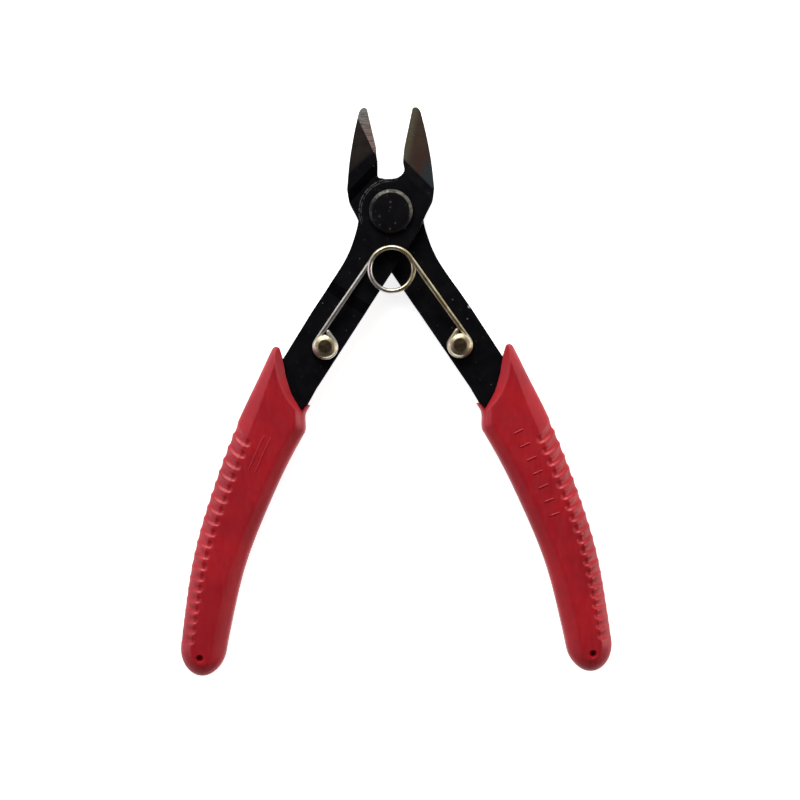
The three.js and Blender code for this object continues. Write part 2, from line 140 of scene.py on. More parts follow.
def merge_doubles(piece, distance=0.002):
    """Makes one closed skin of a piece, facing outwards."""
    def edit(work):
        bmesh.ops.remove_doubles(work, verts=work.verts, dist=distance * MM)
        bmesh.ops.dissolve_degenerate(work, edges=work.edges, dist=distance * MM * 0.1)
        bmesh.ops.holes_fill(work, edges=[edge for edge in work.edges if edge.is_boundary], sides=0)
        bmesh.ops.recalc_face_normals(work, faces=work.faces)
        if work.calc_volume(signed=True) < 0.0:
            bmesh.ops.reverse_faces(work, faces=work.faces)
    edit_mesh(piece, edit)


def sharpen(piece, degrees):
    """Smooth shading that breaks at edges sharper than the angle."""
    limit = math.radians(degrees)

    def edit(work):
        for face in work.faces:
            face.smooth = True
        for edge in work.edges:
            edge.smooth = not edge.is_manifold or edge.calc_face_angle(0.0) < limit
    edit_mesh(piece, edit)


def finish_piece(piece, body, material, replaced=()):
    piece.data.materials.clear()
    piece.data.materials.append(material)
    if body:
        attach(piece, body)
    if replaced:
        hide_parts(*replaced)
    return piece


# ---------------------------------------------------------------- material graphs

class Graph:
    """A shader node tree in short form. Each call adds a node and returns one of its outputs."""

    def __init__(self, tree):
        self.tree = tree
        tree.nodes.clear()

    def add(self, kind, inputs=None, output=0, **settings):
        node = self.tree.nodes.new(kind)
        for key, value in settings.items():
            setattr(node, key, value)
        for key, value in (inputs or {}).items():
            self.set(node.inputs[key], value)
        return node.outputs[output]

    def set(self, socket, value):
        if isinstance(value, bpy.types.NodeSocket):
            self.tree.links.new(value, socket)
        else:
            socket.default_value = value

    def math(self, operation, a, b=0.0):
        return self.add("ShaderNodeMath", {0: a, 1: b}, operation=operation)

    def times(self, a, b):
        return self.math("MULTIPLY", a, b)

    def either(self, a, b):
        return self.math("MAXIMUM", a, b)

    def step(self, value, low, high, out_low=0.0, out_high=1.0):
        inputs = {"Value": value, "From Min": low, "From Max": high, "To Min": out_low, "To Max": out_high}
        return self.add("ShaderNodeMapRange", inputs, interpolation_type="SMOOTHSTEP")

    def mix(self, factor, a, b):
        return self.add("ShaderNodeMix", {0: factor, 6: a, 7: b}, output=2, data_type="RGBA")

    def position(self):
        """Where a point is on the tool at rest, in millimetres."""
        own = self.add("ShaderNodeTexCoord", output="Object")
        return self.add("ShaderNodeVectorMath", {0: own, "Scale": 1.0 / MM}, operation="SCALE")

    def normal(self):
        return self.add("ShaderNodeTexCoord", output="Normal")

    def along(self, vector, direction):
        inputs = {0: vector, 1: direction}
        return self.add("ShaderNodeVectorMath", inputs, output="Value", operation="DOT_PRODUCT")

    def from_point(self, vector, centre):
        """Distance in plan from a point."""
        away = self.add("ShaderNodeVectorMath", {0: vector, 1: (*centre, 0.0)}, operation="SUBTRACT")
        flat = self.stretched(away, (1.0, 1.0, 0.0))
        return self.add("ShaderNodeVectorMath", {0: flat}, output="Value", operation="LENGTH")

    def band(self, value, low, high, edge):
        """1 between low and high, falling off over the edge on both sides."""
        return self.times(self.step(value, low - edge, low), self.step(value, high + edge, high))

    def stretched(self, vector, scale):
        return self.add("ShaderNodeVectorMath", {0: vector, 1: scale}, operation="MULTIPLY")

    def noise(self, vector, scale, detail=4.0, rough=0.55):
        inputs = {"Vector": vector, "Scale": scale, "Detail": detail, "Roughness": rough}
        return self.add("ShaderNodeTexNoise", inputs, output="Fac")

    def cells(self, vector, scale, output="Distance"):
        return self.add("ShaderNodeTexVoronoi", {"Vector": vector, "Scale": scale}, output=output)

    def specks(self, vector, scale, radius, share):
        """Small separate spots: about one cell in 1 / share holds one."""
        near = self.step(self.cells(vector, scale), radius, radius * 0.55)
        pick = self.along(self.cells(vector, scale, "Color"), (1.0, 0.0, 0.0))
        return self.times(near, self.step(pick, 1.0 - share, 1.0 - share + 0.01))

    def bump(self, height, distance, strength=1.0, normal=None):
        inputs = {"Height": height, "Distance": distance * MM, "Strength": strength}
        if normal is not None:
            inputs["Normal"] = normal
        return self.add("ShaderNodeBump", inputs, output="Normal")

    def surface(self, **inputs):
        named = {key.replace("_", " ").title().replace("Ior", "IOR"): value for key, value in inputs.items()}
        self.finish(self.add("ShaderNodeBsdfPrincipled", named))

    def finish(self, shader, kind="ShaderNodeOutputMaterial"):
        node = self.tree.nodes.new(kind)
        self.tree.links.new(shader, node.inputs["Surface"])


def material(name):
    made = bpy.data.materials.new(name)
    made.use_nodes = True
    return made, Graph(made.node_tree)


def bearing(degrees):
    return (math.cos(math.radians(degrees)), math.sin(math.radians(degrees)), 0.0)


def steel_base(g):
    """Oil-blackened steel: near black, with cloudy patches, dust and rubbed edges."""
    place = g.position()
    normal = g.normal()
    up = g.along(normal, (0.0, 0.0, 1.0))
    cloud = g.noise(place, 0.35, 6.0, 0.6)
    grain = g.noise(place, 5.0, 5.0, 0.65)
    black = g.mix(g.step(cloud, 0.35, 0.7), (0.0022, 0.0022, 0.0032, 1.0), (0.0045, 0.0044, 0.0052, 1.0))
    brown_dust = g.specks(place, 1.2, 0.26, 0.09)
    pale_dust = g.specks(place, 0.6, 0.13, 0.3)
    dusty = g.mix(g.times(brown_dust, 0.45), black, srgb(70, 54, 48))
    dusty = g.mix(g.times(pale_dust, 0.6), dusty, srgb(120, 122, 130))
    rim = g.times(g.step(up, 0.2, 0.4), g.step(up, 0.8, 0.74))
    rubbed = g.times(rim, g.step(g.noise(place, 1.1, 5.0, 0.7), 0.42, 0.6))
    return place, normal, up, cloud, grain, dusty, rubbed


def steel_finish(g, up, colour, metallic, rough, grain, extra_height=None, extra_depth=0.01):
    """The pressed bends are left dull, so they reflect less than the flats."""
    bend = g.band(up, 0.81, 0.905, 0.02)
    rough = g.either(rough, g.times(bend, 0.75))
    sheen = g.step(bend, 0.0, 1.0, 0.16, 0.02)
    normal = g.bump(grain, 0.012, 0.6)
    if extra_height is not None:
        normal = g.bump(extra_height, extra_depth, 1.0, normal)
    g.surface(base_color=colour, metallic=metallic, roughness=rough, normal=normal, specular_ior_level=sheen)


def front_steel():
    """The right jaw is ground across its whole top, from olive at the edge to blue at the heel."""
    made, g = material("blackened_steel_front")
    place, _, up, _, grain, colour, rubbed = steel_base(g)
    reach = g.along(place, bearing(FRONT_GROUND["direction"]))
    start = FRONT_GROUND["start"]
    ground = g.times(g.step(reach, start - 0.15, start + 0.7), g.step(up, 0.9, 0.97))
    from_edge = g.along(place, bearing(-EDGE_HALF_ANGLE))
    height = g.along(place, (0.0, 1.0, 0.0))
    strokes = g.noise(g.stretched(place, (0.5, 3.0, 0.5)), 1.6, 4.0, 0.6)
    # painted shading: the ground face is painted lighter near the cutting edge and browner away from it
    tone = g.mix(g.step(from_edge, 0.5, 2.2), srgb(118, 110, 92), srgb(92, 76, 66))
    red = g.times(g.step(height, 16.0, 11.5), g.step(g.along(place, (1.0, 0.0, 0.0)), 4.6, 6.0))
    tone = g.mix(g.times(red, 0.5), tone, srgb(88, 56, 52))
    heel = g.times(g.step(height, 13.4, 9.0), g.step(from_edge, 3.6, 6.4))
    tone = g.mix(heel, tone, srgb(70, 80, 86))
    tone = g.mix(g.step(strokes, 0.35, 0.75, 0.0, 0.35), tone, srgb(70, 62, 56))
    colour = g.mix(ground, colour, tone)

    # painted highlight: the hub's rim is painted bright in two fine lines on the side towards the left jaw,
    # where its edge faces the north light
    radius = g.from_point(place, (0.0, 0.0))
    lines = g.either(g.band(radius, 6.92, 7.06, 0.08), g.times(g.band(radius, 6.5, 6.6, 0.08), 0.5))
    toward_jaw = g.step(g.along(place, bearing(140.0)), 2.9, 5.0)
    hub_rim_painted_highlight = g.times(g.times(lines, toward_jaw), g.step(g.noise(place, 1.3, 4.0, 0.6), 0.38, 0.55))
    # rubbed here holds the real edge wear and also the hub rim's painted highlight
    rubbed = g.either(rubbed, g.times(hub_rim_painted_highlight, g.step(up, 0.6, 0.8)))
    colour = g.mix(rubbed, colour, srgb(128, 128, 126))
    metallic = g.either(ground, rubbed)
    rough = g.step(metallic, 0.0, 1.0, 0.32, 0.36)
    steel_finish(g, up, colour, metallic, rough, grain, g.times(strokes, ground), 0.02)
    return made


def rear_steel():
    """The left jaw has a narrow bright strip with grinding marks across it, beside a browner ground face."""
    made, g = material("blackened_steel_rear")
    place, normal, up, cloud, grain, colour, rubbed = steel_base(g)
    reach = g.along(place, bearing(REAR_GROUND["direction"]))
    top = g.step(up, 0.9, 0.96)
    ground = g.times(g.step(reach, REAR_GROUND["start"] - 0.3, REAR_GROUND["start"] + 2.2), top)
    lean = g.along(normal, (1.0, 0.0, 0.0))
    strip = g.times(g.times(g.step(lean, 0.04, 0.1), top), g.step(reach, 11.0, 11.6))
    length = g.along(place, bearing(90.0 + EDGE_HALF_ANGLE))
    marks = g.noise(g.stretched(place, (0.25, 2.6, 0.25)), 1.5, 3.0, 0.7)
    tone = g.mix(g.step(length, 17.5, 22.0), srgb(122, 104, 99), srgb(122, 120, 116))
    tone = g.mix(g.step(marks, 0.38, 0.62, 0.65, 0.0), tone, srgb(56, 48, 46))
    face = g.mix(g.step(cloud, 0.35, 0.65), srgb(60, 53, 50), srgb(48, 43, 41))
    colour = g.mix(ground, colour, face)
    colour = g.mix(strip, colour, tone)
    colour = g.mix(rubbed, colour, srgb(120, 120, 118))
    nick = g.step(g.from_point(place, SHANK_NICK), 0.42, 0.2)
    colour = g.mix(g.times(nick, 0.8), colour, srgb(170, 168, 164))
    bare = g.either(g.either(ground, strip), rubbed)
    rough = g.step(bare, 0.0, 1.0, 0.32, 0.36)
    steel_finish(g, up, colour, bare, rough, grain, g.times(marks, strip), 0.05)
    return made


def pivot_steel():
    """The rivet's flat is black; its turned chamfer shows bare metal in patches, and is painted bright only
    on the side towards the jaws, which faces the north light: partly wear, partly painted highlight.
    """
    made, g = material("pivot_steel")
    place, _, up, _, grain, colour, _ = steel_base(g)
    chamfer = g.times(g.step(up, 0.55, 0.68), g.step(up, 0.97, 0.9))
    patches = g.step(g.noise(place, 1.1, 5.0, 0.75), 0.4, 0.6, 0.2, 1.0)
    # painted highlight: the chamfer is brightened only on the side towards the jaws, which faces the north
    # light
    toward_jaws = g.step(g.along(place, bearing(66.0)), -0.4, 3.4, 0.04, 1.0)
    chamfer_wear_and_highlight = g.times(g.times(chamfer, patches), toward_jaws)
    pits = g.specks(place, 0.9, 0.3, 0.35)
    colour = g.mix(g.times(pits, 0.4), colour, srgb(96, 90, 88))
    colour = g.mix(chamfer_wear_and_highlight, colour, srgb(118, 116, 106))
    steel_finish(g, up, colour, chamfer_wear_and_highlight, 0.34, grain)
    return made


def plated_metal(name, centre_x):
    """Zinc-plated rivet with a brown middle, painted as the reflection of the dark overhead."""
    made, g = material(name)
    place = g.position()
    radius = g.from_point(place, (centre_x, SPRING_RIVET["y"]))
    blotch = g.noise(place, 1.4, 6.0, 0.65)
    fine = g.noise(place, 7.0, 4.0, 0.6)
    turning = {"W": radius, "Scale": 6.0, "Detail": 3.0}
    ring = g.add("ShaderNodeTexNoise", turning, output="Fac", noise_dimensions="1D")
    plate = g.mix(g.step(blotch, 0.35, 0.7), srgb(226, 220, 198), srgb(188, 178, 150))
    cone = g.mix(g.step(blotch, 0.3, 0.7), srgb(186, 174, 144), srgb(156, 142, 112))
    colour = g.mix(g.step(radius, 2.45, 2.0), plate, cone)
    # painted reflection: the flat middle of the head is painted brown for the dark overhead it reflects
    middle = g.times(g.step(radius, 1.7, 1.2), g.step(blotch, 0.2, 0.5, 0.75, 1.0))
    colour = g.mix(middle, colour, srgb(116, 98, 76))
    colour = g.mix(g.step(fine, 0.62, 0.75, 0.0, 0.5), colour, srgb(96, 80, 60))
    rough = g.step(blotch, 0.3, 0.7, 0.28, 0.45)
    normal = g.bump(fine, 0.02, 0.7)
    normal = g.bump(ring, 0.012, 0.6, normal)
    g.surface(base_color=colour, metallic=1.0, roughness=rough, normal=normal)
    return made


def spring_metal():
    """Drawn spring wire: fine lines along it, yellowed in patches."""
    made, g = material("spring_wire")
    place = g.position()
    blotch = g.noise(place, 0.45, 5.0, 0.6)
    fine = g.noise(place, 4.5, 5.0, 0.65)
    toward_coil = g.step(g.along(place, bearing(35.0)), -14.0, -4.0)
    clean = g.mix(g.step(blotch, 0.35, 0.65), srgb(208, 207, 204), srgb(180, 176, 166))
    yellow = g.mix(g.step(blotch, 0.4, 0.6), srgb(198, 188, 158), srgb(164, 150, 116))
    colour = g.mix(toward_coil, clean, yellow)
    colour = g.mix(g.step(fine, 0.6, 0.72, 0.0, 0.55), colour, srgb(104, 88, 62))
    rough = g.step(fine, 0.3, 0.7, 0.26, 0.4)
    g.surface(base_color=colour, metallic=1.0, roughness=rough, normal=g.bump(fine, 0.015, 0.7))
    return made


def red_vinyl():
    """Moulded vinyl: cloudy red, fine pores, faint rubbed streaks and a few specks of grime."""
    made, g = material("red_vinyl")
    place = g.position()
    cloud = g.noise(place, 0.09, 5.0, 0.6)
    mottle = g.noise(place, 0.7, 6.0, 0.65)
    pores = g.noise(place, 4.0, 4.0, 0.6)
    colour = g.mix(g.step(cloud, 0.35, 0.65), srgb(170, 24, 33), srgb(152, 20, 31))
    colour = g.mix(g.step(mottle, 0.45, 0.75, 0.0, 0.4), colour, srgb(134, 17, 33))
    grime = g.specks(place, 0.7, 0.07, 0.05)
    colour = g.mix(g.times(grime, 0.6), colour, srgb(70, 16, 22))
    streaks = g.noise(g.stretched(place, (1.4, 0.25, 1.0)), 0.9, 5.0, 0.7)
    rough = g.step(streaks, 0.3, 0.72, 0.34, 0.52)
    skin = g.bump(mottle, 0.03, 0.5)
    skin = g.bump(pores, 0.012, 0.5, skin)
    g.surface(base_color=colour, roughness=rough, normal=skin, ior=1.5, specular_tint=(1.0, 0.74, 0.78, 1.0))
    return made


# ---------------------------------------------------------------- arms

def clean_arm(name, node, body, look):
    """A tidy copy of a CAD arm: flats made whole and every arris broken by a fine rounded edge."""
    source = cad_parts[node].data
    mesh = source.copy()
    mesh.name = name
    piece = bpy.data.objects.new(name, mesh)
    bpy.context.scene.collection.objects.link(piece)
    if mesh.has_custom_normals:
        mesh.attributes.remove(mesh.attributes["custom_normal"])

    def edit(work):
        bmesh.ops.remove_doubles(work, verts=work.verts, dist=0.001 * MM)
        flat = math.radians(0.4)
        bmesh.ops.dissolve_limit(
            work, angle_limit=flat, verts=work.verts, edges=work.edges, delimit={"NORMAL"})
        bmesh.ops.recalc_face_normals(work, faces=work.faces)
        for face in work.faces:
            face.smooth = True
        for edge in work.edges:
            level = max(abs(face.normal.z) for face in edge.link_faces)
            limit = math.radians(3 if level > 0.7 else 30)
            edge.smooth = not edge.is_manifold or edge.calc_face_angle(0.0) < limit
    edit_mesh(piece, edit)

    bevel = piece.modifiers.new("arris", "BEVEL")
    bevel.width = 0.18 * MM
    bevel.segments = 2
    bevel.limit_method = "ANGLE"
    bevel.angle_limit = math.radians(32)
    bevel.use_clamp_overlap = True
    bevel.miter_outer = "MITER_ARC"
    weighted = piece.modifiers.new("flat faces", "WEIGHTED_NORMAL")
    weighted.keep_sharp = True
    return finish_piece(piece, body, look, [node])


# ---------------------------------------------------------------- turned parts

def eased(profile, radius, steps=4):
    """Rounds each inner corner of an open profile by about the radius."""
    points = [np.array(p, float) for p in profile]
    result = [points[0]]
    for before, corner, after in zip(points, points[1:], points[2:]):
        back = before - corner
        ahead = after - corner
        reach = min(radius, 0.4 * np.linalg.norm(back), 0.4 * np.linalg.norm(ahead))
        start = corner + back / np.linalg.norm(back) * reach
        end = corner + ahead / np.linalg.norm(ahead) * reach
        for t in np.linspace(0.0, 1.0, steps):
            result.append((1 - t) ** 2 * start + 2 * t * (1 - t) * corner + t * t * end)
    result.append(points[-1])
    return result


def turned(name, profile, centre=(0.0, 0.0), sides=112):
    """A solid of revolution about a vertical axis. The profile runs from one end of the axis to the other."""
    points = []
    faces = []
    rings = []
    for radius, z in profile:
        if radius < 1e-6:
            rings.append([len(points)])
            points.append((centre[0], centre[1], z))
            continue
        ring = []
        for k in range(sides):
            angle = 2 * math.pi * k / sides
            ring.append(len(points))
            points.append((centre[0] + radius * math.cos(angle), centre[1] + radius * math.sin(angle), z))
        rings.append(ring)
    for low, high in zip(rings, rings[1:]):
        for k in range(sides):
            following = (k + 1) % sides
            if len(low) == 1:
                faces.append((low[0], high[following], high[k]))
            elif len(high) == 1:
                faces.append((low[k], low[following], high[0]))
            else:
                faces.append((low[k], low[following], high[following], high[k]))
    piece = mesh_object(name, points, faces)
    merge_doubles(piece)
    return piece


def pivot_rivet(look):
    top = PIVOT["top"]
    inner = PIVOT["inner_z"]
    half = [
        (PIVOT["flat"] * 0.35, top),
        (PIVOT["flat"], top),
        (PIVOT["head"], top - PIVOT["chamfer"]),
        (PIVOT["head"], MIDDLE_Z + inner),
        (PIVOT["shank"], MIDDLE_Z + inner),
    ]
    lower = [(radius, 2 * MIDDLE_Z - z) for radius, z in half]
    profile = [(0.0, 0.0), *lower, *reversed(half), (0.0, top)]
    piece = turned("pivot_rivet_turned", eased(profile, 0.14))
    return finish_piece(piece, "front_arm", look, ["pivot_rivet"])


def spring_rivet(side, body, look):
    top = SPRING_RIVET["head_top"]
    head = SPRING_RIVET["head"]
    profile = [
        (0.0, SPRING_PEEN["low"]),
        (SPRING_PEEN["radius"] - 0.35, SPRING_PEEN["low"]),
        (SPRING_PEEN["radius"], SPRING_PEEN["low"] + 0.25),
        (SPRING_PEEN["radius"], SPRING_PEEN["high"]),
        (SPRING_RIVET["shank"], SPRING_PEEN["high"]),
        (SPRING_RIVET["shank"], SPRING_RIVET["head_low"]),
        (head - 0.1, SPRING_RIVET["head_low"]),
        (head, SPRING_RIVET["head_low"] + 0.15),
        (head, top - 0.72),
        (head - 0.34, top - 0.3),
        (1.5, top - 0.03),
        (0.5, top),
        (0.0, top),
    ]
    name = "left" if side < 0 else "right"
    centre = (side * SPRING_RIVET["x"], SPRING_RIVET["y"])
    piece = turned(f"spring_rivet_{name}_turned", eased(profile, 0.1), centre, 96)
    return finish_piece(piece, body, look, [f"spring_rivet_{name}"])


# ---------------------------------------------------------------- spring

def spring_path():
    """The wire's centre line from the left tail, by the left eye and the coil, to the right tail."""
    dx = SPRING_RIVET["x"]
    dy = COIL["y"] - SPRING_RIVET["y"]
    span = math.hypot(dx, dy)
    lean = math.asin((COIL["radius"] - EYE["radius"]) / span)
    contact = math.atan2(dy, dx) + lean + math.pi / 2
    leg_length = span * math.cos(lean)

    def on_circle(x, y, radius, angle, z):
        return np.array([x + radius * math.cos(angle), y + radius * math.sin(angle), z])

    tail_angle = contact + math.radians(EYE["sweep"])
    eye = []
    for t in np.linspace(1.0, 0.2, 5):
        start = on_circle(-dx, SPRING_RIVET["y"], EYE["radius"], tail_angle, EYE["z"])
        eye.append(start + t * EYE["tail"] * np.array([-math.sin(tail_angle), math.cos(tail_angle), 0.0]))
    for t in np.linspace(0.0, 1.0, 64):
        angle = tail_angle - t * math.radians(EYE["sweep"])
        eye.append(on_circle(-dx, SPRING_RIVET["y"], EYE["radius"], angle, EYE["z"]))
    leg_start = eye[-1]
    coil_start = on_circle(0.0, COIL["y"], COIL["radius"], contact, COIL["low"])
    level = 1.0 - LEFT_LEG_LEVEL / leg_length

    left_leg = []
    right_leg = []
    for t in np.linspace(0.03, 0.97, 34):
        rise = float(smoothstep(t / level, -0.15, 1.0))
        point = leg_start + t * (coil_start - leg_start)
        left_leg.append(np.array([point[0], point[1], EYE["z"] + rise * (COIL["low"] - EYE["z"])]))
        climb = float(smoothstep(t, -0.15, 1.0))
        right_leg.append(np.array([-point[0], point[1], EYE["z"] + climb * (COIL["high"] - EYE["z"])]))

    turn = 2 * (contact - math.pi / 2) + 2 * math.pi
    coil = []
    for t in np.linspace(0.0, 1.0, 132):
        z = COIL["low"] + t * (COIL["high"] - COIL["low"])
        coil.append(on_circle(0.0, COIL["y"], COIL["radius"], contact - t * turn, z))
    right_eye = [point * np.array([-1.0, 1.0, 1.0]) for point in reversed(eye)]
    return np.array(eye + left_leg + coil + right_leg[::-1] + right_eye)


def tube(name, path, radius, sides=18):
    """A round wire along a path, with domed ends."""
    tangents = np.gradient(path, axis=0)
    tangents /= np.linalg.norm(tangents, axis=1)[:, None]
    side = np.cross(tangents[0], (0.0, 0.0, 1.0))
    dome = [(0.02, 0.8), (0.3, 0.76), (0.62, 0.62), (0.85, 0.4), (0.97, 0.16)]
    first = tangents[0]
    last = tangents[-1]
    stations = [(path[0] - first * radius * reach, first, scale) for scale, reach in dome]
    stations += [(p, t, 1.0) for p, t in zip(path, tangents)]
    stations += [(path[-1] + last * radius * reach, last, scale) for scale, reach in reversed(dome)]
    points = []
    faces = []
    for centre, tangent, scale in stations:
        side = side - np.dot(side, tangent) * tangent
        side /= np.linalg.norm(side)
        other = np.cross(tangent, side)
        for k in range(sides):
            angle = 2 * math.pi * k / sides
            points.append(centre + radius * scale * (math.cos(angle) * side + math.sin(angle) * other))
    for i in range(len(stations) - 1):
        for k in range(sides):
            following = (k + 1) % sides
            low = i * sides
            high = low + sides
            faces.append((low + k, low + following, high + following, high + k))
    faces.append(tuple(range(sides))[::-1])
    faces.append(tuple((len(stations) - 1) * sides + k for k in range(sides)))
    return mesh_object(name, points, faces)


def return_spring(look):
    piece = tube("return_spring", spring_path(), WIRE_RADIUS)
    finish_piece(piece, None, look, ["spring_coil", "spring_right_leg"])
    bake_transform(piece)
    return piece


# ---------------------------------------------------------------- grips

def catmull_rom(points, samples):
    """A uniform Catmull-Rom curve through the points, with its ends repeated."""
    known = np.array(points, float)
    last = len(known) - 1
    place = np.linspace(0.0, last, samples)
    first = np.minimum(place.astype(int), last - 1)
    t = (place - first)[:, None]
    p0 = known[np.maximum(first - 1, 0)]
    p1 = known[first]
    p2 = known[first + 1]
    p3 = known[np.minimum(first + 2, last)]
    v0 = (p2 - p0) / 2
    v1 = (p3 - p1) / 2
    return (2 * p1 - 2 * p2 + v0 + v1) * t ** 3 + (-3 * p1 + 3 * p2 - 2 * v0 - v1) * t ** 2 + v0 * t + p1


centre_samples = catmull_rom(GRIP_CENTRELINE, 4000)
centre_steps = np.linalg.norm(np.diff(centre_samples, axis=0), axis=1)
centre_s = np.concatenate([[0.0], np.cumsum(centre_steps)])
GRIP_LENGTH = float(centre_s[-1])
centre_tangents = np.gradient(centre_samples, axis=0)
centre_tangents /= np.linalg.norm(centre_tangents, axis=1)[:, None]
mouth_points = catmull_rom(MOUTH_CURVE, 600)


def plan(s, w):
    """Right-hand grip: plan position of a point at s along the centreline and w outwards from it."""
    s = np.asarray(s, float)
    w = np.asarray(w, float)
    x, y = (np.interp(s, centre_s, centre_samples[:, k]) for k in (0, 1))
    tx, ty = (np.interp(s, centre_s, centre_tangents[:, k]) for k in (0, 1))
    return x - ty * w, y + tx * w


def outer_half(s):
    along = np.clip((s - (GRIP_LENGTH - GRIP_END_ROUNDING)) / GRIP_END_ROUNDING, 0.0, 1.0)
    fuller = TIP_FULLNESS * (1.0 - smoothstep(s, 5.0, 14.0))
    return (GRIP_TOP_HALF_WIDTH + fuller - GRIP_TAPER * s) * np.sqrt(1.0 - along ** 2)


def inner_half(s):
    relief = 1.0 - smoothstep(s, THROAT_RELIEF["start"], THROAT_RELIEF["end"])
    return outer_half(s) - THROAT_RELIEF["depth"] * relief


def full_bevel_width(edge, s):
    places, widths = zip(*edge)
    return np.interp(s, places, widths)


def bevel_width(edge, s):
    """The bevel's width changes down the grip, and shrinks with the section round the end."""
    along = np.clip((s - (GRIP_LENGTH - GRIP_END_ROUNDING)) / GRIP_END_ROUNDING, 0.0, 1.0)
    return full_bevel_width(edge, s) * np.sqrt(1.0 - along ** 2)


def bevel_point(t, width):
    """Inset from the edge and height, from the crease at t = 0 to the upright side at t = 1."""
    inset = width * ((1 - t) ** 3 + 3 * (1 - t) ** 2 * t * BEVEL_FULLNESS)
    heights = (GRIP_THICKNESS, GRIP_THICKNESS - BEVEL_START_DROP, BEVEL_SHOULDER_Z, GRIP_EDGE_Z)
    weights = ((1 - t) ** 3, 3 * (1 - t) ** 2 * t, 3 * (1 - t) * t ** 2, t ** 3)
    return inset, sum(weight * height for weight, height in zip(weights, heights))


def bevel_height(inset, width):
    insets, heights = bevel_point(np.linspace(1.0, 0.0, 200), 1.0)
    return np.interp(inset / width, insets, heights)


def end_bevel_width(s, w):
    """Round the closed end the two sides' bevels run into one width."""
    inner = full_bevel_width(INNER_BEVEL, s)
    outer = full_bevel_width(OUTER_BEVEL, s)
    side = inner + (outer - inner) * smoothstep(w, -1.5, 1.5)
    return side + (END_BEVEL - side) * smoothstep(s, GRIP_LENGTH - GRIP_END_ROUNDING, GRIP_LENGTH - 2.5)


def mouth_start(w):
    """Where the sleeve starts, at each distance outwards."""
    order = np.argsort(mouth_points[:, 1])
    return np.interp(w, mouth_points[order, 1], mouth_points[order, 0])


def nearest(points, line):
    """Distance from each point to a dense line of points."""
    result = np.empty(len(points))
    for first in range(0, len(points), 2000):
        block = points[first:first + 2000]
        gaps = block[:, None, :] - line[None, :, :]
        result[first:first + 2000] = np.sqrt((gaps ** 2).sum(axis=2)).min(axis=1)
    return result


# Columns of the section, from the inner side over the top to the outer side and back underneath:
# the kind of column, its parameter, and +1 for the upper half or -1 for the lower half.
def section_columns():
    inner = [("inner", t) for t in np.linspace(1.0, 0.0, 12)]
    flat = [("flat", t) for t in (*np.linspace(0.0, 0.5, 8)[1:], *np.linspace(0.5, 1.0, 18)[1:-1])]
    outer = [("outer", t) for t in np.linspace(0.0, 1.0, 20)]
    walls = [1.25, 0.75, 0.3, 0.12, 0.0, -0.12, -0.3, -0.75, -1.25]
    columns = [(kind, t, 1) for kind, t in inner + flat + outer]
    columns += [("outer_wall", z, 1 if z > 0 else -1) for z in walls]
    columns += [(kind, t, -1) for kind, t in reversed(inner + flat + outer)]
    columns += [("inner_wall", -z, 1 if z < 0 else -1) for z in walls]
    return columns


def column_place(column, s):
    """Distance outwards and height of one column at each s, before the mouth, the end and the flutes."""
    kind, t, half = column
    s = np.asarray(s, float)
    if kind == "outer":
        inset, z = bevel_point(t, bevel_width(OUTER_BEVEL, s))
        return outer_half(s) - inset, MIDDLE_Z + half * (z - MIDDLE_Z) + 0.0 * s
    if kind == "inner":
        inset, z = bevel_point(t, bevel_width(INNER_BEVEL, s))
        return inset - inner_half(s), MIDDLE_Z + half * (z - MIDDLE_Z) + 0.0 * s
    if kind == "flat":
        low = bevel_width(INNER_BEVEL, s) - inner_half(s)
        high = outer_half(s) - bevel_width(OUTER_BEVEL, s)
        return low + t * (high - low), MIDDLE_Z + half * MIDDLE_Z + 0.0 * s
    seam = (0.07 if t == 0.0 else 0.0) * np.minimum(1.0, outer_half(s))
    if kind == "outer_wall":
        return outer_half(s) + seam, MIDDLE_Z + t + 0.0 * s
    return -inner_half(s) - seam, MIDDLE_Z + t + 0.0 * s


def flute_lips():
    """Where each flute's lower lip meets the flat. The spacing closes up down the grip."""
    index = np.arange(FLUTES["count"])
    return FLUTES["first_lip"] + FLUTES["spacing"] * index - FLUTES["closing"] * index ** 2


def row_stations():
    """Rows below the mouth zone: close together in the fluted stretch, then round the closed end."""
    first = FLUTES["first_lip"] - 3.6
    last = flute_lips()[-1] + 0.6
    above = np.linspace(MOUTH_ROWS_END, first, 8)[:-1]
    fluted = np.arange(first, last, FLUTES["row"])
    end_start = GRIP_LENGTH - GRIP_END_ROUNDING
    rounding = end_start + GRIP_END_ROUNDING * np.sin(np.linspace(0.0, math.pi / 2, 32))
    rounding = rounding[rounding > last + 0.1]
    return np.concatenate([above, fluted, rounding])


def flute_depth(s, w):
    """Share of a flute's full depth at (s, w), and how far out to the side the point is.

    Each flute runs in from the side, sweeps down the grip and ends in a round pocket.
    """
    edge = outer_half(s)
    pocket = edge - FLUTE_POCKET["from_edge"] + FLUTE_POCKET["drift"] * (s - 26.0)
    out = smoothstep((w - pocket) / (edge - pocket), 0.0, 1.0)
    upper = 1.0 + 0.6 * out
    lower = 0.8 + 0.2 * out
    sweep = 0.11 * np.maximum(0.0, w - pocket) ** 2
    short = np.maximum(0.0, (pocket - w) / FLUTE_POCKET["reach"])
    deepest = np.zeros(np.shape(s))
    for lip in flute_lips():
        from_middle = s - (lip - 0.82 - sweep)
        reach = from_middle / np.where(from_middle < 0.0, upper, lower)
        deepest = np.maximum(deepest, 1.0 - reach ** 2 - short ** 2)
    return deepest, out


def surface_tilt(kind, t):
    """How far the surface leans from level at a column, which sets the way the flutes are pressed."""
    if kind == "flat":
        return math.radians(14.0 * float(smoothstep(t, 0.6, 1.0)))
    if kind == "outer":
        return math.radians(14.0 + 72.0 * t)
    return math.radians(90.0)


